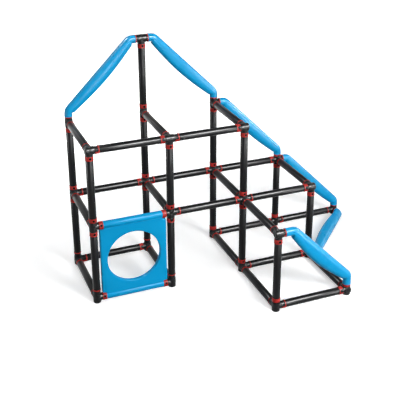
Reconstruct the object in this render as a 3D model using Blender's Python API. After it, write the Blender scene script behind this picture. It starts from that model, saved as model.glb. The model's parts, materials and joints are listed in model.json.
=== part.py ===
# Modular climbing frame for children: charcoal plastic tubes plugged into
# moulded connectors on a cubic grid, six blue corner bars and one blue panel
# with a round crawl hole. Metres, +Z up; the origin is on the floor under the
# middle of the frame, +X runs along its long side and +Y towards its back row.

import math

import bmesh
import bpy
from mathutils import Matrix, Vector

# Grid: posts are named by a letter, levels are counted up from the floor
PITCH = 0.400
POSTS = {
    # letter: (column, row from the front, number of uprights above the floor)
    "a": (0, 2, 2), "b": (1, 2, 3), "c": (2, 2, 2), "d": (3, 2, 1), "e": (4, 2, 0),
    "f": (0, 1, 2), "g": (1, 1, 2), "h": (2, 1, 2), "i": (3, 1, 1),
    "j": (2, 0, 1), "k": (3, 0, 0),
}
RAILS = {
    # level: the pairs of posts that a horizontal tube joins
    0: ["ab", "cd", "de", "hi", "jk", "af", "bg", "ch", "hj", "ik"],
    1: ["ab", "bc", "cd", "gh", "hi", "af", "bg", "ch", "hj", "di"],
    2: ["fg", "gh", "af", "bg", "ch"],
}
BARS = [
    # post, level and way out of the connector, for both ends of a bar
    (("a", 2, "+z"), ("b", 3, "-x")),
    (("b", 3, "+x"), ("c", 2, "+z")),
    (("c", 2, "+x"), ("d", 1, "+z")),
    (("d", 1, "+x"), ("e", 0, "+z")),
    (("j", 1, "+x"), ("k", 0, "+z")),
    (("e", 0, "-y"), ("i", 0, "+x")),
]
PANEL_POSTS = ("f", "g")
PANEL_LEVELS = (0, 1)

# Tubes and the clearances between pieces
TUBE_RADIUS = 0.019
TUBE_WALL = 0.003
END_GAP = 0.0003
SPIGOT_CLEARANCE = 0.0004

# Connectors: a hub with a closed face or an arm on each of its six sides
HUB_RELIEF = 0.002
CLOSED_LIP = 0.004
ARM_LIP = 0.007
RING_STAND = 0.0015
TUBE_RING_LENGTH = 0.024
TUBE_SPIGOT_LENGTH = 0.035
BAR_RING_LENGTH = 0.010
BAR_SPIGOT_LENGTH = 0.016

# Blue bars: slim at both ends, with a straight outer edge and a full belly
BAR_END_STAND = 0.003
BAR_SWELL_IN_PLANE = 0.011
BAR_SWELL_ACROSS = 0.004
BAR_CORNER = 0.064
BAR_BEND_RADIUS = 0.036
BAR_WALL = 0.004
BAR_SOCKET_SPARE = 0.001
FLOOR_MARGIN = 0.0005

# Blue panel: a thick sheet between two tubular edges
PANEL_THICKNESS = 0.025
PANEL_SETBACK = 0.028
PANEL_NOTCH_GAP = 0.0015
PANEL_EDGE_ROUND = 0.003
CRAWL_HOLE_RADIUS = 0.138

# Facets of the round pieces
ROUND_SIDES = 12
HOLE_SIDES = 32
BEND_STEPS = 2
BELLY_STEPS = 6
SMOOTH_ANGLE = math.radians(40)

# Sizes that follow from those above
HUB_RADIUS = TUBE_RADIUS - HUB_RELIEF
RING_RADIUS = TUBE_RADIUS + RING_STAND
BORE_RADIUS = TUBE_RADIUS - TUBE_WALL
SPIGOT_RADIUS = BORE_RADIUS - SPIGOT_CLEARANCE
CLOSED_REACH = HUB_RADIUS + CLOSED_LIP
ARM_REACH = HUB_RADIUS + ARM_LIP
TUBE_SEAT = ARM_REACH + TUBE_RING_LENGTH
BAR_SEAT = ARM_REACH + BAR_RING_LENGTH
TUBE_LENGTH = PITCH - 2 * (TUBE_SEAT + END_GAP)
BAR_END_RADIUS = TUBE_RADIUS + BAR_END_STAND
FOOT_REACH = BAR_END_RADIUS + BAR_SWELL_ACROSS + FLOOR_MARGIN

WAYS = {
    "+x": Vector((1, 0, 0)), "-x": Vector((-1, 0, 0)),
    "+y": Vector((0, 1, 0)), "-y": Vector((0, -1, 0)),
    "+z": Vector((0, 0, 1)), "-z": Vector((0, 0, -1)),
}
QUARTER = math.pi / 2
FACING = {
    # quarter turns that bring +Z round to each way, so that facets line up
    "+z": Matrix.Identity(4), "-z": Matrix.Rotation(2 * QUARTER, 4, "X"),
    "+x": Matrix.Rotation(QUARTER, 4, "Y"), "-x": Matrix.Rotation(-QUARTER, 4, "Y"),
    "+y": Matrix.Rotation(-QUARTER, 4, "X"), "-y": Matrix.Rotation(QUARTER, 4, "X"),
}

# Finishes: name, base colour and roughness
CHARCOAL = ("charcoal_plastic", (0.021, 0.021, 0.023), 0.42)
RED = ("red_plastic", (0.515, 0.038, 0.032), 0.40)
BLUE = ("blue_plastic", (0.018, 0.328, 0.716), 0.35)


def clear_scene():
    for thing in list(bpy.data.objects):
        bpy.data.objects.remove(thing, do_unlink=True)


def plastic(finish):
    """A satin plastic, made once and shared by the pieces that have it."""
    name, colour, roughness = finish
    material = bpy.data.materials.get(name)
    if material is None:
        material = bpy.data.materials.new(name)
        material.use_nodes = True
        surface = material.node_tree.nodes["Principled BSDF"]
        surface.inputs["Base Color"].default_value = (*colour, 1.0)
        surface.inputs["Roughness"].default_value = roughness
        surface.inputs["Metallic"].default_value = 0.0
        material.diffuse_color = (*colour, 1.0)
    return material


def finish_mesh(bm, name, *finishes):
    """Turn a bmesh into a smooth shaded mesh with one material per finish."""
    bmesh.ops.recalc_face_normals(bm, faces=bm.faces)
    mesh = bpy.data.meshes.new(name)
    bm.to_mesh(mesh)
    bm.free()
    mesh.shade_smooth()
    mesh.set_sharp_from_angle(angle=SMOOTH_ANGLE)
    for finish in finishes:
        mesh.materials.append(plastic(finish))
    return mesh


def add_piece(name, mesh, matrix, frame):
    """One named piece, placed in the frame and parented to it."""
    piece = bpy.data.objects.new(name, mesh)
    bpy.context.collection.objects.link(piece)
    piece.parent = frame
    piece.matrix_world = matrix
    return piece


def add_guide(name, mesh, matrix, frame):
    """A shape that only a modifier uses."""
    guide = add_piece(name, mesh, matrix, frame)
    guide.hide_render = True
    guide.display_type = "WIRE"
    return guide


def junction(post, level):
    """The middle of the connector of a post at a level."""
    columns = [place[0] for place in POSTS.values()]
    rows = [place[1] for place in POSTS.values()]
    column, row, _ = POSTS[post]
    return Vector(((column - (min(columns) + max(columns)) / 2) * PITCH,
                   (row - (min(rows) + max(rows)) / 2) * PITCH,
                   FOOT_REACH + level * PITCH))


def way_between(start, end):
    """The name of the way that leads from one junction to the next."""
    return max(WAYS, key=lambda way: WAYS[way].dot(end - start))


def round_face(bm, matrix, radius):
    """A round outline, square to the matrix's Z, with flat sides to its X and Y."""
    half_step = Matrix.Rotation(math.pi / ROUND_SIDES, 4, "Z")
    made = bmesh.ops.create_circle(bm, segments=ROUND_SIDES, radius=radius,
                                   matrix=matrix @ half_step)
    return made["verts"]


def extend(bm, face, matrix, finish=0):
    """Extrude a face, move its copy by a matrix, and return that copy."""
    cap = bmesh.ops.extrude_discrete_faces(bm, faces=[face])["faces"][0]
    bmesh.ops.transform(bm, matrix=matrix, verts=cap.verts)
    sides = {side for edge in cap.edges for side in edge.link_faces}
    for side in sides - {cap}:
        side.material_index = finish
    return cap


def push(bm, face, way, length, finish=0):
    return extend(bm, face, Matrix.Translation(WAYS[way] * length), finish)


def resize(bm, face, way, factor, finish=0):
    """Extrude a face in its own plane, scaled about its middle."""
    middle = Matrix.Translation(face.calc_center_median())
    turn = FACING[way]
    scale = turn @ Matrix.Diagonal((factor, factor, 1, 1)) @ turn.inverted()
    return extend(bm, face, middle @ scale @ middle.inverted(), finish)


def square_off(bm, face, way):
    """Weld the corners of a round face onto the four nearest its diagonals."""
    middle = face.calc_center_median()
    unturn = FACING[way].to_3x3().inverted()
    local = {vert: unturn @ (vert.co - middle) for vert in face.verts}
    diagonals = [Vector((x, y, 0)) for x in (-1, 1) for y in (-1, 1)]
    corners = [max(local, key=lambda vert: local[vert].dot(diagonal)) for diagonal in diagonals]
    welds = {vert: min(corners, key=lambda corner: (corner.co - vert.co).length)
             for vert in face.verts if vert not in corners}
    bmesh.ops.weld_verts(bm, targetmap=welds)
    return next(side for side in corners[0].link_faces
                if all(corner in side.verts[:] for corner in corners))


def arms_by_junction():
    """What each connector carries: {(post, level): {way: kind of arm}}."""
    arms = {(post, level): {} for post, place in POSTS.items() for level in range(place[2] + 1)}
    for post, place in POSTS.items():
        for level in range(place[2]):
            arms[post, level]["+z"] = "upright"
            arms[post, level + 1]["-z"] = "tube"
    joined = [(pair, level) for level, pairs in RAILS.items() for pair in pairs]
    joined += [(PANEL_POSTS, level) for level in PANEL_LEVELS]
    for (start, end), level in joined:
        way_out = way_between(junction(start, level), junction(end, level))
        way_back = way_between(junction(end, level), junction(start, level))
        arms[start, level][way_out] = "tube"
        arms[end, level][way_back] = "tube"
    for bar in BARS:
        for post, level, way in bar:
            arms[post, level][way] = "bar"
    return arms


def hub(bm, reaches):
    """The hull of six round outlines, each at its own reach from the middle."""
    verts = []
    for way, reach in reaches.items():
        verts += round_face(bm, Matrix.Translation(WAYS[way] * reach) @ FACING[way], HUB_RADIUS)
    bmesh.ops.convex_hull(bm, input=verts)
    bmesh.ops.dissolve_limit(bm, angle_limit=math.radians(0.5), verts=bm.verts, edges=bm.edges)
    bmesh.ops.recalc_face_normals(bm, faces=bm.faces)


def hub_face(bm, way):
    return max(bm.faces, key=lambda face: face.calc_center_median().dot(WAYS[way]))


def add_arm(bm, way, kind):
    """A lock ring and, beyond it, a spigot or the upright tube itself."""
    seat = BAR_SEAT if kind == "bar" else TUBE_SEAT
    ring = resize(bm, hub_face(bm, way), way, RING_RADIUS / HUB_RADIUS, finish=1)
    ring = push(bm, ring, way, seat - ARM_REACH, finish=1)
    if kind == "upright":
        length = TUBE_LENGTH + END_GAP
        tube = resize(bm, ring, way, TUBE_RADIUS / RING_RADIUS, finish=1)
        tube = push(bm, tube, way, length)
        bore = resize(bm, tube, way, BORE_RADIUS / TUBE_RADIUS)
        push(bm, bore, way, -length)
    else:
        spigot = resize(bm, ring, way, SPIGOT_RADIUS / RING_RADIUS, finish=1)
        spigot = square_off(bm, spigot, way)
        push(bm, spigot, way, BAR_SPIGOT_LENGTH if kind == "bar" else TUBE_SPIGOT_LENGTH)


def connector_mesh(name, arms, on_floor):
    """A connector, with the upright that stands in it where it has one."""
    bm = bmesh.new()
    reaches = {way: ARM_REACH if way in arms else CLOSED_REACH for way in WAYS}
    if on_floor:
        reaches["-z"] = FOOT_REACH
    hub(bm, reaches)
    for way, kind in arms.items():
        add_arm(bm, way, kind)
    for face in bm.faces:
        if len(face.verts) == ROUND_SIDES:
            face.material_index = 0
    return finish_mesh(bm, name, CHARCOAL, RED)


def tube_mesh(name, length, finish):
    """A round tube along Z, turned from its wall's section."""
    bm = bmesh.new()
    section = [(BORE_RADIUS, -length / 2), (TUBE_RADIUS, -length / 2),
               (TUBE_RADIUS, length / 2), (BORE_RADIUS, length / 2)]
    verts = [bm.verts.new((radius, 0, height)) for radius, height in section]
    edges = [bm.edges.new((verts[k - 1], verts[k])) for k in range(len(verts))]
    half_step = Matrix.Rotation(math.pi / ROUND_SIDES, 4, "Z")
    bmesh.ops.transform(bm, matrix=half_step, verts=verts)
    bmesh.ops.spin(bm, geom=verts + edges, cent=(0, 0, 0), axis=(0, 0, 1),
                   angle=2 * math.pi, steps=ROUND_SIDES, use_merge=True)
    return finish_mesh(bm, name, finish)


def bar_section(along, height, turn, in_plane, across):
    """Places a unit circle across a bar that lies in XZ, turned down by an angle."""
    way = Vector((math.cos(turn), 0, -math.sin(turn)))
    side = Vector((0, 1, 0))
    inward = side.cross(way)
    columns = (inward * in_plane, side * across, way, Vector((along, 0, height)))
    return Matrix([[column[row] for column in columns] for row in range(3)] + [[0, 0, 0, 1]])


def bar_bend(far, step, radius_in, radius_across):
    """A section in one of a bar's two bends; step runs from 0 at its end to 1."""
    tangent = BAR_BEND_RADIUS * math.tan(math.pi / 8)
    turn = step * math.pi / 4
    along = BAR_CORNER - tangent + BAR_BEND_RADIUS * math.sin(turn)
    height = -BAR_BEND_RADIUS * (1 - math.cos(turn))
    if far:
        along, height, turn = PITCH + height, along - PITCH, QUARTER - turn
    return bar_section(along, height, turn, radius_in, radius_across)


def bar_belly(share, wall):
    """A section of the straight stretch, swollen towards the inner side."""
    start = bar_bend(False, 1, 1, 1).translation
    end = bar_bend(True, 1, 1, 1).translation
    swell = math.sin(math.pi * share)
    inner_side = Vector((-1, 0, -1)).normalized()
    middle = start.lerp(end, share) + inner_side * BAR_SWELL_IN_PLANE * swell
    return bar_section(middle.x, middle.z, math.pi / 4,
                       BAR_END_RADIUS + BAR_SWELL_IN_PLANE * swell - wall,
                       BAR_END_RADIUS + BAR_SWELL_ACROSS * swell - wall)


def bar_end(far, reach, radius):
    """A section of a bar's straight end, at a reach from the connector's middle."""
    if far:
        return bar_section(PITCH, reach - PITCH, QUARTER, radius, radius)
    return bar_section(reach, 0, 0, radius, radius)


def bar_mesh(name):
    """A hollow bar from the way +X out of one corner to +Z out of the other."""
    seat = BAR_SEAT + END_GAP
    bends = [step / BEND_STEPS for step in range(BEND_STEPS + 1)]
    stations = [bar_end(False, seat, BAR_END_RADIUS)]
    stations += [bar_bend(False, step, BAR_END_RADIUS, BAR_END_RADIUS) for step in bends]
    stations += [bar_belly(step / BELLY_STEPS, 0) for step in range(1, BELLY_STEPS)]
    stations += [bar_bend(True, step, BAR_END_RADIUS, BAR_END_RADIUS) for step in reversed(bends)]
    stations += [bar_end(True, seat, BAR_END_RADIUS)]

    bm = bmesh.new()
    half_step = Matrix.Rotation(math.pi / ROUND_SIDES, 4, "Z")
    bmesh.ops.create_cone(bm, cap_ends=True, segments=ROUND_SIDES, radius1=1, radius2=1,
                          depth=2, matrix=half_step)
    lower = [vert for vert in bm.verts if vert.co.z < 0]
    upper = [vert for vert in bm.verts if vert.co.z > 0]
    unlift = Matrix.Translation((0, 0, 1))
    bmesh.ops.transform(bm, matrix=stations[0] @ unlift, verts=lower)
    bmesh.ops.transform(bm, matrix=stations[1] @ unlift.inverted(), verts=upper)
    near = next(face for face in bm.faces if all(vert in lower for vert in face.verts))
    far = next(face for face in bm.faces if all(vert in upper for vert in face.verts))
    for before, after in zip(stations[1:], stations[2:]):
        far = extend(bm, far, after @ before.inverted())

    socket = BAR_SEAT + BAR_SPIGOT_LENGTH + BAR_SOCKET_SPARE
    slim = BAR_END_RADIUS - BAR_WALL
    floors = []
    for face, is_far in ((near, False), (far, True)):
        way = "+z" if is_far else "+x"
        mouth = resize(bm, face, way, BORE_RADIUS / BAR_END_RADIUS)
        inside = square_off(bm, mouth, way)
        steps = [bar_end(is_far, seat, BORE_RADIUS), bar_end(is_far, socket, BORE_RADIUS),
                 bar_bend(is_far, 1, slim, slim), bar_belly(2 / 3 if is_far else 1 / 3, BAR_WALL)]
        for before, after in zip(steps, steps[1:]):
            inside = extend(bm, inside, after @ before.inverted())
        floors.append(inside)
    rims = [edge for face in floors for edge in face.edges]
    bmesh.ops.delete(bm, geom=floors, context="FACES_ONLY")
    bmesh.ops.bridge_loops(bm, edges=rims)
    return finish_mesh(bm, name, BLUE)


def panel_sheet_mesh(name):
    """The flat sheet with its round hole, notched around the four lock rings."""
    half_width = PITCH / 2 - PANEL_SETBACK
    shoulder = PITCH / 2 - RING_RADIUS - PANEL_NOTCH_GAP
    neck = TUBE_LENGTH / 2 - PANEL_NOTCH_GAP
    quarter = [(half_width, shoulder), (neck, shoulder), (neck, PITCH / 2)]
    outline = quarter + [(-x, z) for x, z in reversed(quarter)]
    outline += [(-x, -z) for x, z in outline]

    bm = bmesh.new()
    corners = [bm.verts.new((x, -PANEL_THICKNESS / 2, z)) for x, z in outline]
    edges = [bm.edges.new((corners[k - 1], corners[k])) for k in range(len(corners))]
    hole = bmesh.ops.create_circle(
        bm, segments=HOLE_SIDES, radius=CRAWL_HOLE_RADIUS,
        matrix=Matrix.Translation((0, -PANEL_THICKNESS / 2, 0)) @ FACING["+y"])["verts"]
    edges += list({edge for vert in hole for edge in vert.link_edges})
    bmesh.ops.triangle_fill(bm, use_beauty=True, edges=edges)
    raised = bmesh.ops.extrude_face_region(bm, geom=bm.faces[:], use_keep_orig=True)["geom"]
    bmesh.ops.translate(bm, vec=(0, PANEL_THICKNESS, 0),
                        verts=[item for item in raised if isinstance(item, bmesh.types.BMVert)])
    bmesh.ops.recalc_face_normals(bm, faces=bm.faces)
    rims = [edge for edge in bm.edges
            if edge.calc_face_angle(0) > SMOOTH_ANGLE and not runs_across(edge)
            and all(abs(vert.co.z) < shoulder + END_GAP for vert in edge.verts)]
    bmesh.ops.bevel(bm, geom=rims, offset=PANEL_EDGE_ROUND, affect="EDGES", segments=1,
                    profile=0.5, material=-1)
    return finish_mesh(bm, name, BLUE)


def runs_across(edge):
    """True for an edge that runs through the sheet's thickness."""
    return abs(edge.verts[0].co.y - edge.verts[1].co.y) > PANEL_THICKNESS / 2


def rod_mesh(name, radius, length):
    """A closed round rod along X."""
    bm = bmesh.new()
    half_step = Matrix.Rotation(math.pi / ROUND_SIDES, 4, "Z")
    bmesh.ops.create_cone(bm, cap_ends=True, segments=ROUND_SIDES, radius1=radius,
                          radius2=radius, depth=length, matrix=FACING["+x"] @ half_step)
    return finish_mesh(bm, name, BLUE)


def add_panel(frame):
    """The sheet, joined to a tube along its top and bottom that is then bored."""
    start, end = PANEL_POSTS
    middle = (junction(start, PANEL_LEVELS[0]) + junction(end, PANEL_LEVELS[1])) / 2
    panel = add_piece("crawl_panel", panel_sheet_mesh("crawl_panel"),
                      Matrix.Translation(middle), frame)
    edge_tube = rod_mesh("edge_tube", TUBE_RADIUS, TUBE_LENGTH)
    edge_bore = rod_mesh("edge_bore", BORE_RADIUS, TUBE_LENGTH * 1.1)
    for operation, mesh in (("UNION", edge_tube), ("DIFFERENCE", edge_bore)):
        for level in PANEL_LEVELS:
            height = junction(start, level).z
            place = Matrix.Translation((middle.x, middle.y, height))
            guide = add_guide(f"{mesh.name}_{level}", mesh, place, frame)
            step = panel.modifiers.new(guide.name, "BOOLEAN")
            step.operation = operation
            step.solver = "EXACT"
            step.object = guide


def add_connectors(frame):
    """A node per junction; where an upright stands in it, the two are one node."""
    meshes = {}
    for (post, level), arms in arms_by_junction().items():
        on_floor = level == 0
        key = (on_floor, tuple(sorted(arms.items())))
        name = f"post_{post}{level}" if "upright" in arms.values() else f"connector_{post}{level}"
        if key not in meshes:
            meshes[key] = connector_mesh(name, arms, on_floor)
        add_piece(name, meshes[key], Matrix.Translation(junction(post, level)), frame)


def add_rails(frame):
    mesh = tube_mesh("rail", TUBE_LENGTH, CHARCOAL)
    for level, pairs in RAILS.items():
        for start, end in pairs:
            ends = junction(start, level), junction(end, level)
            place = Matrix.Translation((ends[0] + ends[1]) / 2) @ FACING[way_between(*ends)]
            add_piece(f"rail_{start}{end}_{level}", mesh, place, frame)


def add_bars(frame):
    mesh = bar_mesh("bar")
    for (start, low, way_out), (end, high, way_in) in BARS:
        along, up = WAYS[way_out], WAYS[way_in]
        columns = (along, up.cross(along), up, junction(start, low))
        place = Matrix([[column[row] for column in columns] for row in range(3)] + [[0, 0, 0, 1]])
        add_piece(f"bar_{start}{low}_{end}{high}", mesh, place, frame)


def build():
    clear_scene()
    frame = bpy.data.objects.new("climbing_frame", None)
    bpy.context.collection.objects.link(frame)
    add_connectors(frame)
    add_rails(frame)
    add_bars(frame)
    add_panel(frame)
    bpy.context.view_layer.update()


build()
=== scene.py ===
# The looks of a modular climbing frame: charcoal tubes, moulded connectors with
# red lock rings and black lock buttons, blue corner bars and a blue crawl panel.
# Metres, +Z up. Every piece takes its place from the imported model.

import json
import math

import bmesh
import bpy
from mathutils import Matrix, Vector


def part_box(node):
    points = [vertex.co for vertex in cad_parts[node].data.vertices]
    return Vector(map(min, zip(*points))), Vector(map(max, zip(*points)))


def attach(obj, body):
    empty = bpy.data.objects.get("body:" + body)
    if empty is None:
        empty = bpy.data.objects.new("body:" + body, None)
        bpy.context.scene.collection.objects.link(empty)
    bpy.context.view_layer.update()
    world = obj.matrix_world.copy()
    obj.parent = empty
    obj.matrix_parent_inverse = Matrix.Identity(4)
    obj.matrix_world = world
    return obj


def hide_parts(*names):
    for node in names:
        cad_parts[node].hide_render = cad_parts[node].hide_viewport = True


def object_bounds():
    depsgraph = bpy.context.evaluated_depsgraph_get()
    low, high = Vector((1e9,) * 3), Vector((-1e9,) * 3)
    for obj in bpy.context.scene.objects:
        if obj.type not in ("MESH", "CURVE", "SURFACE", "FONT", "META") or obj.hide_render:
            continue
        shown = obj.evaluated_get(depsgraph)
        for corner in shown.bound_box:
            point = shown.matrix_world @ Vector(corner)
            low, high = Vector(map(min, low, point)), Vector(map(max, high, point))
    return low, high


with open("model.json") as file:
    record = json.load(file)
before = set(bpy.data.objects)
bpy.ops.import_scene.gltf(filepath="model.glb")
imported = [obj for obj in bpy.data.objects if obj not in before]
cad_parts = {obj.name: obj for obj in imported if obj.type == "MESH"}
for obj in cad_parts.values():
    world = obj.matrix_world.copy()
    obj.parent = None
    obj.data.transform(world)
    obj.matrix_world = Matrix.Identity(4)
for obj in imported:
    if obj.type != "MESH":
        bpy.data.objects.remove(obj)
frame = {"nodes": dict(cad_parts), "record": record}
cad_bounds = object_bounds()

# Facets round a tube, a moulded piece, a connector's arm and a button
TUBE_SIDES = 48
MOULDED_SIDES = 44
ARM_SIDES = 40
BUTTON_SIDES = 24
# Points closer than this are one, and edges sharper than this are rounded
MERGE = 1e-6
SHARP_EDGE = math.radians(35)
EDGE_ROUND = 0.0006

# Tubes
TUBE_RADIUS = 0.019
BORE_RADIUS = 0.016
MOUTH_RADIUS = 0.0184
MOUTH_LENGTH = 0.0016

# Connectors, measured from the middle of each: a main barrel, slimmer side arms
# and on a closed side a round end, a small boss, a flat foot or nothing
HUB_RADIUS = 0.0204
SIDE_ARM_RADIUS = 0.0190
CLOSED_REACH = 0.0207
CLOSED_ROUNDING = 0.0062
FOOT_ROUNDING = 0.0030
BOSS_RADIUS = 0.0084
BOSS_REACH = 0.0203
BOSS_ROUNDING = 0.0012
# A dish's radius, and the stud and flat ring inside it as shares of that
DISH_RADIUS = 0.0085
BOSS_DISH_RADIUS = 0.0051
DISH_DEPTH = 0.0009
STUD_HEIGHT = 0.0005
STUD_TOP, STUD_FOOT, DISH_FLAT = 0.34, 0.46, 0.86
# An arm's groove, the sleeve that a ring turns on and the spigot beyond the seat
GROOVE_START = 0.0226
GROOVE_END = 0.0240
GROOVE_RADIUS = 0.0172
SLEEVE_GAP = 0.0002
SEAT_GAP = 0.0004
SPIGOT_RADIUS = 0.0152
SPIGOT_END = 0.082
BAR_SPIGOT_LENGTH = 0.0155

# Lock rings, measured along an arm: a body round its opening, then a rim
RING_START = 0.0272
RIM_START = 0.0430
SLIM_RIM_START = 0.0462
RING_END = 0.0480
RING_END_GAP = 0.0003
RING_INNER = 0.0181
RING_BODY_RADIUS = 0.0201
RIM_RADIUS = 0.0206
RIM_OVERLAP = 0.001
RING_RAMP = 0.005
WRAP_STEP = math.radians(8)
# The tongue in a ring's opening and the button in the tongue's round end
WINDOW_GAP = 0.0004
LOCK_ROOT_RADIUS = 0.0171
TONGUE_HALF_WIDTH = 0.0092
TONGUE_ROOT_HALF_WIDTH = 0.0100
TONGUE_RADIUS = 0.0194
BUTTON_REACH = 0.0364
# The button's dished top: how far in from its side and down from its lip
BUTTON_RADIUS = 0.0062
BUTTON_TOP = 0.0203
BUTTON_DISH = [(0.0062, 0.0012), (0.0022, 0.0009), (0.0014, 0), (0.0006, 0), (0, 0.0007)]
# A lock on an arm along X is turned up a little from the front
LOCK_LIFT = math.radians(18)

# Corner bars, with the seat and the corner of the middle line measured from the
# middle of a connector. The belly swells inwards: up to the shoulder's share of
# its fullness within the bend, and from there on to the middle of the slope
BAR_SEAT = 0.0343
BAR_END_RADIUS = 0.0208
BAR_CORNER = 0.064
BAR_BEND_RADIUS = 0.031
BAR_SWELL_IN_PLANE = 0.0126
BAR_SWELL_ACROSS = 0.0043
BAR_SHOULDER = 0.38
BAR_FLATNESS = 0.35
BAR_WALL = 0.004
BAR_LIP_LENGTH = 0.0075
BAR_LIP_STAND = 0.0004
BAR_LIP_RAMP = 0.002
BAR_STEPS = 60
# The front bay's bar bends further out and is fuller
FRONT_BAR = "bar_j1_k0"
FRONT_BAR_CORNER = 0.086
FRONT_BAR_SWELL = 0.0175

# Crawl panel
PANEL_THICKNESS = 0.025
PANEL_SETBACK = 0.028
PANEL_NOTCH_GAP = 0.0012
PANEL_EDGE_ROUND = 0.0045
PANEL_CORNER_RADIUS = 0.007
CRAWL_HOLE_RADIUS = 0.138

# Floor: its half width, its colours, how much of its white is its own close to
# the frame, and the distances between which it clears to white
FLOOR_REACH = 14
FLOOR_WHITES = ((0.86, 0.865, 0.87, 1), (0.90, 0.90, 0.90, 1))
FLOOR_GLOW = 0.40
FLOOR_NEAR = 0.9
FLOOR_CLEAR = 2.4
# What the floor and the world give as light, and the backdrop's fall from white
# to the ceiling between two heights of the ray
FLOOR_BOUNCE = (0.15, 0.15, 0.15)
WORLD_LIGHT = 0.12
CEILING_LIGHT = 0.20
BACKDROP_TOP = (0.35, 0.75)

# Lamps: direction from the target, distance, size, power, and what it lights,
# the colours (hidden to glossy rays) or only a sheen (hidden to diffuse rays)
LAMP_TARGET = Vector((0, 0, 0.5))
LAMPS = {
    "key_softbox": ((0.270, -0.850, 0.450), 4.2, (1.5, 1.5), 196, "colour"),
    "key_sheen": ((0.260, -0.770, 0.610), 4.1, (3.0, 0.5), 1900, "sheen"),
    "right_sheen": ((0.700, -0.710, -0.080), 3.4, (0.6, 0.5), 125, "sheen"),
    "front_sheen": ((0.000, -1.000, 0.000), 3.6, (1.0, 0.9), 140, "sheen"),
    "bar_sheen": ((0.813, -0.568, 0.140), 3.6, (1.0, 1.0), 90, "sheen"),
    "side_sheen": ((0.970, -0.060, 0.230), 4.0, (0.5, 0.5), 280, "sheen"),
    "low_end_sheen": ((0.913, 0.282, 0.286), 4.0, (1.0, 1.0), 32, "sheen"),
    "left_sheen": ((-0.990, 0.100, 0.000), 3.6, (0.7, 0.9), 110, "sheen"),
    "roof_sheen": ((-0.540, 0.210, 0.810), 4.2, (0.5, 0.5), 800, "sheen"),
    "back_sheen": ((-0.385, 0.830, 0.407), 4.2, (1.4, 1.0), 13, "sheen"),
    "back_softbox": ((-0.300, 0.950, 0.080), 4.2, (1.4, 1.0), 110, "colour"),
    "overhead": ((-0.350, -0.100, 1.000), 4.4, (2.0, 2.0), 50, "colour"),
}

# Camera, in radians, metres and millimetres, with the small lens shift that the
# photograph's framing needs
CAMERA_AZIMUTH = 0.3624
CAMERA_DROP = 0.3802
CAMERA_ROLL = -0.0101
CAMERA_PLACE = (-1.5970, -3.3723, 2.2739)
CAMERA_LENS = 71.877
CAMERA_SENSOR = 36
CAMERA_SHIFT = (0.0375, -0.1625)

# Finish of every plastic: waves to the metre of its drift and scuffs, how strong
# they are in colour and roughness, and how chalky a scuff is
DRIFT_WAVES = 7.0
DRIFT_CONTRAST = 0.9
DRIFT_ROUGHNESS = 0.10
PALE_SHARE = 0.35
SCUFF_WAVES = 420.0
SCUFF_START = 0.58
SCUFF_CONTRAST = 4.0
SCUFF_ROUGHNESS = 0.06
CHALK_GAIN = 1.9
CHALK_LIFT = 0.012

# The two ends of each corner bar: the way that its connector's arm points
BAR_ENDS = {
    "bar_a2_b3": ("+z", "-x"), "bar_b3_c2": ("+x", "+z"), "bar_c2_d1": ("+x", "+z"),
    "bar_d1_e0": ("+x", "+z"), "bar_j1_k0": ("+x", "+z"), "bar_e0_i0": ("-y", "+x"),
}

WAYS = {
    "+x": Vector((1, 0, 0)), "-x": Vector((-1, 0, 0)),
    "+y": Vector((0, 1, 0)), "-y": Vector((0, -1, 0)),
    "+z": Vector((0, 0, 1)), "-z": Vector((0, 0, -1)),
}
OPPOSITE = {"+x": "-x", "-x": "+x", "+y": "-y", "-y": "+y", "+z": "-z", "-z": "+z"}

# Closed front sides with a round end, where the others are smooth
BLUNT_ENDS = ["k0-y"]

# Where the lock of a ring faces
FACINGS = {
    "front": Vector((0, -1, 0)), "back": Vector((0, 1, 0)), "floor": Vector((0, 0, -1)),
    "raised": Vector((0, -math.cos(LOCK_LIFT), math.sin(LOCK_LIFT))),
}
# Lock rings: degrees that the body reaches round on each side, its opening and
# the start of its rim
RING_KINDS = {
    "open": (118, 118, "window", RIM_START), "open_above": (0, 150, "notch", RIM_START),
    "holed": (152, 152, "hole", RIM_START), "band": (152, 152, None, RIM_START),
    "narrow": (66, 66, "window", RIM_START), "slim": (66, 66, "window", SLIM_RIM_START),
}
# Each way's usual ring and where its lock faces, and the rings set otherwise
USUAL_RING = {
    "+x": ("open_above", "raised"), "-x": ("open", "raised"), "+z": ("holed", "front"),
    "-z": ("holed", "front"), "+y": ("slim", "floor"), "-y": ("narrow", "floor"),
}
OTHER_RINGS = {
    ("open", "front"): ["g1-z"],
    ("holed", "raised"): ["f0+x", "f1+x", "g0-x"],
    ("band", "front"): ["c0+z", "d0+z", "g1-x", "j0+z", "k0+z"],
    ("narrow", "back"): ["a0+z", "a2+z", "b0+z", "b3+x", "b3-x", "c2+z", "e0+z", "e0-x",
                         "f0+z", "g0+z"],
}


# Shader maths

class Value:
    """A shader socket that takes part in Python expressions."""

    def __init__(self, shader, socket):
        self.shader = shader
        self.socket = socket

    def _math(self, operation, *inputs):
        return self.shader.node("ShaderNodeMath", {"operation": operation}, *inputs)

    def __add__(self, other):
        return self._math("ADD", self, other)

    def __sub__(self, other):
        return self._math("SUBTRACT", self, other)

    def __rsub__(self, other):
        return self._math("SUBTRACT", other, self)

    def __mul__(self, other):
        return self._math("MULTIPLY", self, other)

    __radd__ = __add__
    __rmul__ = __mul__

    def clamped(self):
        return self.shader.node("ShaderNodeClamp", {}, self)


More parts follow.
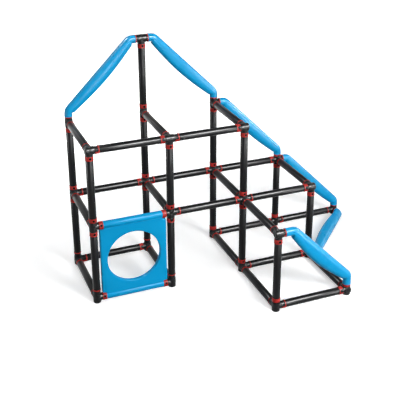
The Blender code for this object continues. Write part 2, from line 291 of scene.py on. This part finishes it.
class Shader:
    """A material or a world, with its node tree."""

    def __init__(self, owner):
        self.owner = owner
        owner.use_nodes = True
        self.tree = owner.node_tree

    def node(self, kind, settings, *inputs, out=0, **named):
        """Makes a node, sets it up, feeds its sockets and returns one of its outputs."""
        made = self.tree.nodes.new(kind)
        for key, value in settings.items():
            setattr(made, key, value)
        for socket, value in zip(made.inputs, inputs):
            self.feed(socket, value)
        for key, value in named.items():
            self.feed(made.inputs[key.replace("_", " ")], value)
        return Value(self, made.outputs[out])

    def feed(self, socket, value):
        if isinstance(value, Value):
            self.tree.links.new(value.socket, socket)
        else:
            socket.default_value = value

    def set(self, node_name, **named):
        for key, value in named.items():
            self.feed(self.tree.nodes[node_name].inputs[key.replace("_", " ")], value)

    def noise(self, scale, detail=2.0, roughness=0.5, stretch=(1, 1, 1)):
        """Smooth noise from 0 to 1, with a number of waves to the metre."""
        place = self.node("ShaderNodeTexCoord", {}, out=3)
        mapped = self.node("ShaderNodeMapping", {}, Vector=place, Scale=stretch)
        return self.node("ShaderNodeTexNoise", {}, Vector=mapped, Scale=scale,
                         Detail=detail, Roughness=roughness)

    def blend(self, factor, first, second):
        """A mix of two colours."""
        mixed = self.tree.nodes.new("ShaderNodeMix")
        mixed.data_type = "RGBA"
        for name, value in (("Factor_Float", factor), ("A_Color", first), ("B_Color", second)):
            self.feed(next(s for s in mixed.inputs if s.identifier == name), value)
        return Value(self, next(s for s in mixed.outputs if s.identifier == "Result_Color"))

    def shown_directly(self):
        """1 for rays that show the backdrop as such, 0 for those that light with it."""
        camera, glossy, through = (
            self.node("ShaderNodeLightPath", {}, out=name)
            for name in ("Is Camera Ray", "Is Glossy Ray", "Is Transmission Ray"))
        return (camera + glossy + through).clamped()


def plastic(name, colour, pale, roughness, grain, depth, gloss, scuff=0.10,
            stretch=(1, 1, 1)):
    """Moulded plastic that drifts from a colour to a paler one, with scuffs and fine grain."""
    shader = Shader(bpy.data.materials.new(name))
    drift = shader.noise(DRIFT_WAVES, detail=3.0)
    scuffs = shader.noise(SCUFF_WAVES, detail=4.0, roughness=0.65, stretch=stretch)
    worn = ((scuffs - SCUFF_START) * SCUFF_CONTRAST).clamped()
    chalk = [min(1, channel * CHALK_GAIN + CHALK_LIFT) for channel in pale]
    tone = shader.blend((drift - 0.5) * DRIFT_CONTRAST + PALE_SHARE, (*colour, 1), (*pale, 1))
    tone = shader.blend(worn * scuff, tone, (*chalk, 1))
    fine = shader.noise(grain, detail=2.0, roughness=0.6, stretch=stretch)
    grained = shader.node("ShaderNodeBump", {}, Strength=1.0, Distance=depth, Height=fine)
    uneven = (drift - 0.5) * DRIFT_ROUGHNESS + worn * SCUFF_ROUGHNESS + roughness
    shader.set("Principled BSDF", Base_Color=tone, Normal=grained, Roughness=uneven,
               Specular_IOR_Level=gloss)
    shader.owner.diffuse_color = (*colour, 1)
    return shader.owner


# Drawn tubes have their grain along their length, so each way has its own finish
TUBE = {
    axis: plastic(f"charcoal_tube_{axis}", (0.0030, 0.0031, 0.0038), (0.0052, 0.0054, 0.0062),
                  0.31, 1500.0, 0.00004, gloss=0.10,
                  stretch=tuple(0.02 if axis == other else 1.0 for other in "xyz"))
    for axis in "xyz"
}
CONNECTOR = plastic("charcoal_connector", (0.0034, 0.0034, 0.0040), (0.0056, 0.0056, 0.0064),
                    0.34, 3000.0, 0.00001, gloss=0.11)
LOCK_RED = plastic("red_lock_ring", (0.42, 0.020, 0.016), (0.50, 0.030, 0.024),
                   0.45, 1800.0, 0.00003, gloss=0.07)
LOCK_BLACK = plastic("black_lock_button", (0.0012, 0.0014, 0.0018), (0.0025, 0.0027, 0.0032),
                     0.60, 1800.0, 0.00003, gloss=0.02)
BAR_BLUE = plastic("blue_bar", (0.0030, 0.325, 0.660), (0.0060, 0.365, 0.720),
                   0.28, 900.0, 0.00002, gloss=0.08, scuff=0.04)
PANEL_BLUE = plastic("blue_panel", (0.0030, 0.325, 0.660), (0.0060, 0.365, 0.720),
                     0.30, 900.0, 0.00002, gloss=0.03, scuff=0.04)


# Building blocks

def aim(way, facing=None):
    """Turns +Z to a way and +X to the facing, which is square to it."""
    up = WAYS[way]
    side = FACINGS[facing] if facing else Vector((up.y, up.z, up.x))
    return framed(side, up.cross(side), up, Vector())


def framed(side, across, up, middle):
    """The matrix whose columns are three directions and a place."""
    columns = (side, across, up, middle)
    return Matrix([[column[row] for column in columns] for row in range(3)] + [[0, 0, 0, 1]])


def arc(middle, radius, start, end, steps):
    """Points on an arc in a plane, from one angle in degrees to another."""
    angles = [math.radians(start + (end - start) * k / steps) for k in range(steps + 1)]
    return [(middle[0] + radius * math.cos(a), middle[1] + radius * math.sin(a)) for a in angles]


def turned(outline, sides):
    """A bmesh of an outline of (radius, height) points turned about Z."""
    bm = bmesh.new()
    verts = [bm.verts.new((radius, 0, height)) for radius, height in outline]
    edges = [bm.edges.new(pair) for pair in zip(verts, verts[1:])]
    if outline[0][0] > 0:
        edges.append(bm.edges.new((verts[-1], verts[0])))
    bmesh.ops.spin(bm, geom=verts + edges, cent=(0, 0, 0), axis=(0, 0, 1),
                   angle=2 * math.pi, steps=sides, use_merge=True)
    bmesh.ops.remove_doubles(bm, verts=bm.verts, dist=MERGE)
    bmesh.ops.recalc_face_normals(bm, faces=bm.faces)
    return bm


def slab(faces, thickness):
    """A bmesh of outlines in XZ that share their edges, thickened towards +Y."""
    bm = bmesh.new()
    for outline in faces:
        bm.faces.new([bm.verts.new((x, 0, z)) for x, z in outline])
    bmesh.ops.remove_doubles(bm, verts=bm.verts, dist=MERGE)
    raised = bmesh.ops.extrude_face_region(bm, geom=bm.faces[:], use_keep_orig=True)["geom"]
    bmesh.ops.translate(bm, vec=(0, thickness, 0),
                        verts=[item for item in raised if isinstance(item, bmesh.types.BMVert)])
    bmesh.ops.recalc_face_normals(bm, faces=bm.faces)
    return bm


def round_edges(bm, offset, segments=2, only=lambda edge: True):
    """Rounds the sharp edges, or only some of them."""
    edges = [edge for edge in bm.edges if len(edge.link_faces) == 2
             and edge.calc_face_angle(0) > SHARP_EDGE and only(edge)]
    bmesh.ops.bevel(bm, geom=edges, offset=offset, segments=segments, profile=0.5,
                    affect="EDGES", material=-1, clamp_overlap=True)


def kept_mesh(bm, name):
    mesh = bpy.data.meshes.new(name)
    bm.to_mesh(mesh)
    bm.free()
    return mesh


def add_copy(bm, template, matrix):
    """Adds a finished mesh to a bmesh, moved by a matrix."""
    before = set(bm.verts)
    bm.from_mesh(template)
    bmesh.ops.transform(bm, matrix=matrix, verts=[vert for vert in bm.verts if vert not in before])


def finish_piece(bm, name, material, replaces=(), smooth=38):
    """Makes a bmesh a named piece that rides on the frame's body."""
    mesh = kept_mesh(bm, name)
    mesh.shade_smooth()
    mesh.set_sharp_from_angle(angle=math.radians(smooth))
    mesh.materials.append(material)
    piece = bpy.data.objects.new(name, mesh)
    bpy.context.scene.collection.objects.link(piece)
    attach(piece, "root")
    if replaces:
        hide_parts(*replaces)


# Where everything goes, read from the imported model

def middle_of(node):
    low, high = (Vector(corner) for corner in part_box(node))
    return (low + high) / 2


feet = {mount["name"][-1]: Vector(mount["pos_m"]) for mount in frame["record"]["mounts"]}
first_level = middle_of("rail_ab_0").z
pitch = middle_of("rail_ab_1").z - first_level
tube_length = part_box("rail_ab_0")[1][0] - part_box("rail_ab_0")[0][0]


def junction(place):
    return feet[place[0]] + Vector((0, 0, first_level + int(place[1]) * pitch))


def way_between(start, end):
    return max(WAYS, key=lambda way: WAYS[way].dot(end - start))


def read_arms():
    """Each junction's arms, {"a0": {"+z": "tube"}}, from the names of the nodes."""
    nodes = sorted(frame["nodes"])
    places = [name.split("_")[1] for name in nodes if name.startswith(("post", "connector"))]
    arms = {place: {} for place in places}
    joined = [("f0", "g0"), ("f1", "g1")]
    for name in nodes:
        kind, *rest = name.split("_")
        if kind == "post":
            joined.append((rest[0], rest[0][0] + str(int(rest[0][1]) + 1)))
        elif kind == "rail":
            joined.append((rest[0][0] + rest[1], rest[0][1] + rest[1]))
        elif kind == "bar":
            for place, way in zip(rest, BAR_ENDS[name]):
                arms[place][way] = "bar"
    for start, end in joined:
        way = way_between(junction(start), junction(end))
        arms[start][way] = "tube"
        arms[end][OPPOSITE[way]] = "tube"
    return arms


arms = read_arms()


# Tubes

def tube_mesh(length):
    """A hollow tube along Z, stepped in at its mouths where the lock rings end."""
    end = length / 2
    shoulder = end - MOUTH_LENGTH
    outline = [(BORE_RADIUS, -end), (MOUTH_RADIUS, -end), (MOUTH_RADIUS, -shoulder),
               (TUBE_RADIUS, -shoulder), (TUBE_RADIUS, shoulder), (MOUTH_RADIUS, shoulder),
               (MOUTH_RADIUS, end), (BORE_RADIUS, end)]
    bm = turned(outline, TUBE_SIDES)
    round_edges(bm, EDGE_ROUND / 2)
    return kept_mesh(bm, "tube")


def build_tubes():
    template = tube_mesh(tube_length)
    for name in sorted(frame["nodes"]):
        kind, rest = name.split("_", 1)
        if kind == "rail":
            start, end = (junction(rest[k] + rest[-1]) for k in (0, 1))
            way, piece = way_between(start, end), f"tube_{rest}"
        elif kind == "post":
            start, way, piece = junction(rest), "+z", f"upright_{rest}"
        else:
            continue
        bm = bmesh.new()
        middle = start + WAYS[way] * pitch / 2
        add_copy(bm, template, Matrix.Translation(middle) @ aim(way))
        finish_piece(bm, piece, TUBE[way[1]], [name])


# Connectors

def closed_mesh(radius, reach, rounding, dish=0):
    """A closed side along Z: a rounded end, or one with a dish and a low stud in it."""
    outline = [(0, reach)]
    if dish:
        floor = reach - DISH_DEPTH
        top = floor + STUD_HEIGHT
        outline = [(0, top), (dish * STUD_TOP, top), (dish * STUD_FOOT, floor),
                   (dish * DISH_FLAT, floor), (dish, reach)]
    outline += arc((radius - rounding, reach - rounding), rounding, 90, 0, 7)
    outline += [(radius, 0), (0, 0)]
    return kept_mesh(turned(outline, MOULDED_SIDES), "closed_side")


def core_mesh():
    """The ball in the middle of a connector, where its round arms meet."""
    radius = SIDE_ARM_RADIUS
    outline = [(0, -radius), *arc((0, 0), radius, -84, 84, 28), (0, radius)]
    return kept_mesh(turned(outline, MOULDED_SIDES), "core")


def arm_mesh(radius, seat, end):
    """An arm along Z: a groove round its root, a sleeve up to the seat, a spigot."""
    sleeve = RING_INNER - SLEEVE_GAP
    stop = seat - SEAT_GAP
    outline = [(0, 0), (radius, 0), (radius, GROOVE_START),
               (GROOVE_RADIUS, GROOVE_START), (GROOVE_RADIUS, GROOVE_END),
               (sleeve, GROOVE_END), (sleeve, stop),
               (SPIGOT_RADIUS, stop), (SPIGOT_RADIUS, end), (0, end)]
    bm = turned(outline, ARM_SIDES)
    round_edges(bm, EDGE_ROUND / 2)
    return kept_mesh(bm, "arm")


def wrapped(faces, inner, outer):
    """A bmesh of flat outlines made as thick as two radii allow and wrapped round Z."""
    bm = slab(faces, outer - inner)
    round_edges(bm, EDGE_ROUND, only=lambda edge: all(vert.co.y < MERGE for vert in edge.verts))
    step = outer * WRAP_STEP
    reach = max(abs(vert.co.x) for vert in bm.verts)
    for k in range(-int(reach / step), int(reach / step) + 1):
        bmesh.ops.bisect_plane(bm, geom=bm.verts[:] + bm.edges[:] + bm.faces[:], dist=1e-7,
                               plane_co=(k * step, 0, 0), plane_no=(1, 0, 0))
    for vert in bm.verts:
        angle = vert.co.x / outer
        radius = outer - vert.co.y
        vert.co = Vector((radius * math.cos(angle), radius * math.sin(angle), vert.co.z))
    return bm


def ring_mesh(before, after, opening, rim_start):
    """A lock ring along Z, its lock towards +X: a rim and a body that reaches part round."""
    left = -RING_BODY_RADIUS * math.radians(before)
    right = RING_BODY_RADIUS * math.radians(after)
    top = rim_start + RIM_OVERLAP
    flank = [(left, top), (left, RING_START + RING_RAMP), (left + RING_RAMP, RING_START)]
    other = [(right - RING_RAMP, RING_START), (right, RING_START + RING_RAMP), (right, top)]
    lock = (0, BUTTON_REACH)
    root = TONGUE_ROOT_HALF_WIDTH + WINDOW_GAP
    reach = TONGUE_HALF_WIDTH + WINDOW_GAP
    edge = arc(lock, reach, 180, 0, 12)
    if opening == "window":
        faces = [flank + [(-root, RING_START)] + edge + [(root, RING_START)] + other]
    elif opening == "notch":
        faces = [[(-reach, top)] + edge + [(root, RING_START)] + other]
    elif opening == "hole":
        radius = BUTTON_RADIUS + WINDOW_GAP
        faces = [flank + [(0, RING_START)] + arc(lock, radius, 270, 90, 12) + [(0, top)],
                 [(0, RING_START)] + other + [(0, top)] + arc(lock, radius, 90, -90, 12)]
    else:
        faces = [flank + other]
    body = kept_mesh(wrapped(faces, RING_INNER, RING_BODY_RADIUS), "ring_body")
    end = RING_END - RING_END_GAP
    bm = turned([(RING_INNER, rim_start), (RIM_RADIUS, rim_start), (RIM_RADIUS, end),
                 (RING_INNER, end)], MOULDED_SIDES)
    round_edges(bm, EDGE_ROUND)
    add_copy(bm, body, Matrix.Identity(4))
    return kept_mesh(bm, "lock_ring")


def tongue_mesh():
    """The connector's tongue, which reaches into a ring's window."""
    outline = [(-TONGUE_ROOT_HALF_WIDTH, GROOVE_END)]
    outline += arc((0, BUTTON_REACH), TONGUE_HALF_WIDTH, 180, 0, 12)
    outline += [(TONGUE_ROOT_HALF_WIDTH, GROOVE_END)]
    return kept_mesh(wrapped([outline], LOCK_ROOT_RADIUS, TONGUE_RADIUS), "tongue")


def button_mesh():
    """The black lock button, dished, standing towards +X in the end of the tongue."""
    outline = [(BUTTON_RADIUS - inset, BUTTON_TOP - drop) for inset, drop in BUTTON_DISH]
    outline += [(BUTTON_RADIUS, LOCK_ROOT_RADIUS), (0, LOCK_ROOT_RADIUS)]
    bm = turned(outline, BUTTON_SIDES)
    place = Matrix.Translation((0, 0, BUTTON_REACH)) @ Matrix.Rotation(math.pi / 2, 4, "Y")
    bmesh.ops.transform(bm, matrix=place, verts=bm.verts)
    return kept_mesh(bm, "button")


def ring_set(place, way):
    """The kind of lock ring on an arm, and the way that its lock faces."""
    for setting, arms_so_set in OTHER_RINGS.items():
        if place + way in arms_so_set:
            return setting
    return USUAL_RING[way]


def build_connectors():
    seats = {"tube": (RING_END, SPIGOT_END), "bar": (BAR_SEAT, BAR_SEAT + BAR_SPIGOT_LENGTH)}
    sleeves = {(carries, on_main): arm_mesh(radius, *seat) for carries, seat in seats.items()
               for on_main, radius in ((True, HUB_RADIUS), (False, SIDE_ARM_RADIUS))}
    slides = {"tube": Matrix.Identity(4), "bar": Matrix.Translation((0, 0, BAR_SEAT - RING_END))}
    end = closed_mesh(HUB_RADIUS, CLOSED_REACH, CLOSED_ROUNDING, DISH_RADIUS)
    boss = closed_mesh(BOSS_RADIUS, BOSS_REACH, BOSS_ROUNDING, BOSS_DISH_RADIUS)
    foot = closed_mesh(HUB_RADIUS, first_level - cad_bounds[0][2], FOOT_ROUNDING)
    core, tongue, button = core_mesh(), tongue_mesh(), button_mesh()
    ring_of = {kind: ring_mesh(*settings) for kind, settings in RING_KINDS.items()}
    for place, carried in arms.items():
        middle = junction(place)
        on_floor = place[1] == "0"
        main = "z" if "+z" in carried and (on_floor or "-z" in carried) else "x"
        body, rings, buttons = bmesh.new(), bmesh.new(), bmesh.new()
        add_copy(body, core, Matrix.Identity(4))
        for way in sorted(set(WAYS) - set(carried)):
            if on_floor and way == "-z":
                add_copy(body, foot, aim(way))
            elif way[1] == main or place + way in BLUNT_ENDS:
                add_copy(body, end, aim(way))
            elif way != "-y":
                add_copy(body, boss, aim(way))
        for way, carries in carried.items():
            kind, facing = ring_set(place, way)
            turn = aim(way, facing)
            slide = turn @ slides[carries]
            add_copy(body, sleeves[carries, way[1] == main], turn)
            add_copy(rings, ring_of[kind], slide)
            if kind != "band":
                add_copy(buttons, button, slide)
            if RING_KINDS[kind][2] in ("window", "notch"):
                add_copy(body, tongue, slide)
        for bm in (body, rings, buttons):
            bmesh.ops.translate(bm, vec=middle, verts=bm.verts)
        node = f"post_{place}" if f"post_{place}" in frame["nodes"] else f"connector_{place}"
        finish_piece(body, f"hub_{place}", CONNECTOR, [node])
        finish_piece(rings, f"lock_rings_{place}", LOCK_RED)
        finish_piece(buttons, f"lock_buttons_{place}", LOCK_BLACK)


# Corner bars

class BarPath:
    """The middle line of a bar in XZ, from +X out of one corner to +Z out of the other."""

    def __init__(self, corner, swell):
        self.corner = corner
        self.swell = swell
        self.tangent = BAR_BEND_RADIUS * math.tan(math.pi / 8)
        self.straight = corner - self.tangent - BAR_SEAT
        self.bend = BAR_BEND_RADIUS * math.pi / 4
        self.run = (pitch - corner) * math.sqrt(2) - 2 * self.tangent
        self.length = 2 * (self.straight + self.bend) + self.run

    def at(self, distance):
        """Where the middle is, how far it has turned down, and how full the bar is."""
        if distance > self.length / 2:
            place, turn, fullness = self.at(self.length - distance)
            return Vector((pitch + place.z, 0, place.x - pitch)), math.pi / 2 - turn, fullness
        bent = min(max((distance - self.straight) / self.bend, 0), 1)
        turn = bent * math.pi / 4
        fullness = BAR_SHOULDER * bent * bent * (3 - 2 * bent)
        if bent == 0:
            place = Vector((BAR_SEAT + distance, 0, 0))
        elif bent < 1:
            place = Vector((self.corner - self.tangent + BAR_BEND_RADIUS * math.sin(turn), 0,
                            -BAR_BEND_RADIUS * (1 - math.cos(turn))))
        else:
            share = (distance - self.straight - self.bend) / self.run
            reach = (share * self.run + self.tangent) / math.sqrt(2)
            place = Vector((self.corner + reach, 0, -reach))
            fullness += (1 - BAR_SHOULDER) * math.sin(math.pi * share)
        inward = Vector((-math.sin(turn), 0, -math.cos(turn)))
        return place + inward * self.swell * fullness, turn, fullness


def flattened(share, flatness):
    """Draws a round section's cosine or sine towards a section with flatter sides."""
    return math.copysign(abs(share) ** (1 - flatness * 0.5), share)


def bar_mesh(corner, swell):
    """A hollow bar: a long turned shape with a lip at each mouth, bent along its path."""
    path = BarPath(corner, swell)
    lip_end = BAR_LIP_LENGTH + BAR_LIP_RAMP
    lip = [(BAR_LIP_STAND, BAR_LIP_RAMP / 4), (BAR_LIP_STAND, BAR_LIP_LENGTH), (0, lip_end)]
    body = [(0, lip_end + (path.length - 2 * lip_end) * k / BAR_STEPS)
            for k in range(1, BAR_STEPS)]
    outer = [(0, 0)] + lip + body + [(stand, path.length - z) for stand, z in reversed(lip)]
    outer += [(0, path.length)]
    inner = [(-BAR_WALL, z) for stand, z in reversed(outer) if stand == 0]
    # Turned at a radius of 1, so that a point's stand over it is still known when it is bent
    outline = [(1 + stand, z) for stand, z in outer + inner]
    bm = turned(outline, MOULDED_SIDES)
    for vert in bm.verts:
        stand = Vector((vert.co.x, vert.co.y)).length - 1
        place, turn, fullness = path.at(vert.co.z)
        way = Vector((math.cos(turn), 0, -math.sin(turn)))
        side = Vector((0, 1, 0))
        flatness = BAR_FLATNESS * fullness
        across = flattened(vert.co.y / (1 + stand), flatness)
        inward = flattened(vert.co.x / (1 + stand), flatness)
        half_in = BAR_END_RADIUS + swell * fullness + stand
        half_across = BAR_END_RADIUS + BAR_SWELL_ACROSS * fullness + stand
        vert.co = place + side.cross(way) * inward * half_in + side * across * half_across
    bmesh.ops.recalc_face_normals(bm, faces=bm.faces)
    return kept_mesh(bm, "bar")


def build_bars():
    usual = bar_mesh(BAR_CORNER, BAR_SWELL_IN_PLANE)
    front = bar_mesh(FRONT_BAR_CORNER, FRONT_BAR_SWELL)
    for name, (first, last) in BAR_ENDS.items():
        start = junction(name.split("_")[1])
        along, up = WAYS[first], WAYS[last]
        bm = bmesh.new()
        template = front if name == FRONT_BAR else usual
        add_copy(bm, template, framed(along, up.cross(along), up, start))
        bmesh.ops.recalc_face_normals(bm, faces=bm.faces)
        finish_piece(bm, f"corner_{name}", BAR_BLUE, [name], smooth=60)


# Crawl panel

def panel_sheet():
    """The sheet in two halves that meet up the middle, each with half the round hole."""
    half = pitch / 2
    side = half - PANEL_SETBACK
    shoulder = half - RIM_RADIUS - PANEL_NOTCH_GAP
    neck = tube_length / 2 - PANEL_NOTCH_GAP
    inset = PANEL_CORNER_RADIUS
    right = [(0, half), (neck, half), (neck, shoulder)]
    right += arc((side - inset, shoulder - inset), inset, 90, 0, 5)
    right += arc((side - inset, inset - shoulder), inset, 0, -90, 5)
    right += [(neck, -shoulder), (neck, -half), (0, -half)]
    right += arc((0, 0), CRAWL_HOLE_RADIUS, -90, 90, 60)
    bm = slab([right, [(-x, z) for x, z in reversed(right)]], PANEL_THICKNESS)
    bmesh.ops.translate(bm, vec=(0, -PANEL_THICKNESS / 2, 0), verts=bm.verts)

    def is_rim(edge):
        first, last = (vert.co for vert in edge.verts)
        return abs(first.y - last.y) < MERGE and max(abs(first.z), abs(last.z)) < shoulder + 1e-4

    round_edges(bm, PANEL_EDGE_ROUND, segments=4, only=is_rim)
    return bm


def build_panel():
    middle = (junction("f0") + junction("g1")) / 2
    bm = panel_sheet()
    edge_tube = tube_mesh(tube_length)
    for side in (-1, 1):
        add_copy(bm, edge_tube, Matrix.Translation((0, 0, side * pitch / 2)) @ aim("+x"))
    bmesh.ops.translate(bm, vec=middle, verts=bm.verts)
    finish_piece(bm, "crawl_panel_shell", PANEL_BLUE, ["crawl_panel"])


# Floor, light and camera

def build_stage():
    """A white floor that keeps the frame's shadow and clears to white further out."""
    shader = Shader(bpy.data.materials.new("studio_floor"))
    shown = shader.shown_directly()
    white = shader.blend(shader.noise(30.0), *FLOOR_WHITES)
    place = shader.node("ShaderNodeTexCoord", {}, out=3)
    distance = shader.node("ShaderNodeVectorMath", {"operation": "LENGTH"}, place, out=1)
    glow = shader.node("ShaderNodeMapRange", {"interpolation_type": "SMOOTHSTEP"},
                       Value=distance, From_Min=FLOOR_NEAR, From_Max=FLOOR_CLEAR,
                       To_Min=FLOOR_GLOW, To_Max=1.0) * shown
    shader.set("Principled BSDF", Roughness=0.9, Specular_IOR_Level=0.0,
               Base_Color=shader.blend(shown, (*FLOOR_BOUNCE, 1), white),
               Emission_Color=shader.blend(glow, (0, 0, 0, 1), (1, 1, 1, 1)),
               Emission_Strength=1.0)
    bm = bmesh.new()
    bmesh.ops.create_grid(bm, x_segments=8, y_segments=8, size=FLOOR_REACH,
                          matrix=Matrix.Translation((0, 0, cad_bounds[0][2])))
    mesh = kept_mesh(bm, "floor")
    mesh.materials.append(shader.owner)
    floor = bpy.data.objects.new("floor", mesh)
    bpy.context.scene.collection.objects.link(floor)


def build_world():
    """A backdrop that is white where it is seen and gives only a little light."""
    world = bpy.data.worlds.new("studio")
    bpy.context.scene.world = world
    shader = Shader(world)
    height = shader.node("ShaderNodeSeparateXYZ", {},
                         shader.node("ShaderNodeTexCoord", {}, out=0), out=2)
    backdrop = shader.node("ShaderNodeMapRange", {"interpolation_type": "SMOOTHSTEP"},
                           Value=height, From_Min=BACKDROP_TOP[0], From_Max=BACKDROP_TOP[1],
                           To_Min=1.0, To_Max=CEILING_LIGHT)
    shown = shader.shown_directly()
    shader.set("Background", Color=(1, 1, 1, 1),
               Strength=shown * backdrop + (1 - shown) * WORLD_LIGHT)


def build_lamps():
    for name, (direction, distance, size, power, shows) in LAMPS.items():
        data = bpy.data.lights.new(name, "AREA")
        data.shape = "RECTANGLE"
        data.size, data.size_y = size
        data.energy = power
        lamp = bpy.data.objects.new(name, data)
        lamp.visible_diffuse = shows != "sheen"
        lamp.visible_glossy = shows != "colour"
        bpy.context.scene.collection.objects.link(lamp)
        away = Vector(direction).normalized()
        lamp.location = LAMP_TARGET + away * distance
        lamp.rotation_euler = (-away).to_track_quat("-Z", "Y").to_euler()


def build_camera():
    ahead = Vector((math.sin(CAMERA_AZIMUTH) * math.cos(CAMERA_DROP),
                    math.cos(CAMERA_AZIMUTH) * math.cos(CAMERA_DROP), -math.sin(CAMERA_DROP)))
    level = Vector((math.cos(CAMERA_AZIMUTH), -math.sin(CAMERA_AZIMUTH), 0))
    upright = level.cross(ahead)
    right = level * math.cos(CAMERA_ROLL) + upright * math.sin(CAMERA_ROLL)
    up = upright * math.cos(CAMERA_ROLL) - level * math.sin(CAMERA_ROLL)
    data = bpy.data.cameras.new("camera")
    data.lens = CAMERA_LENS
    data.sensor_width = CAMERA_SENSOR
    data.shift_x, data.shift_y = CAMERA_SHIFT
    camera = bpy.data.objects.new("camera", data)
    bpy.context.scene.collection.objects.link(camera)
    camera.matrix_world = framed(right, up, -ahead, Vector(CAMERA_PLACE))
    bpy.context.scene.camera = camera


build_camera()
build_stage()
build_world()
build_lamps()
build_connectors()
build_tubes()
build_bars()
build_panel()
bpy.context.scene.view_settings.view_transform = "Standard"
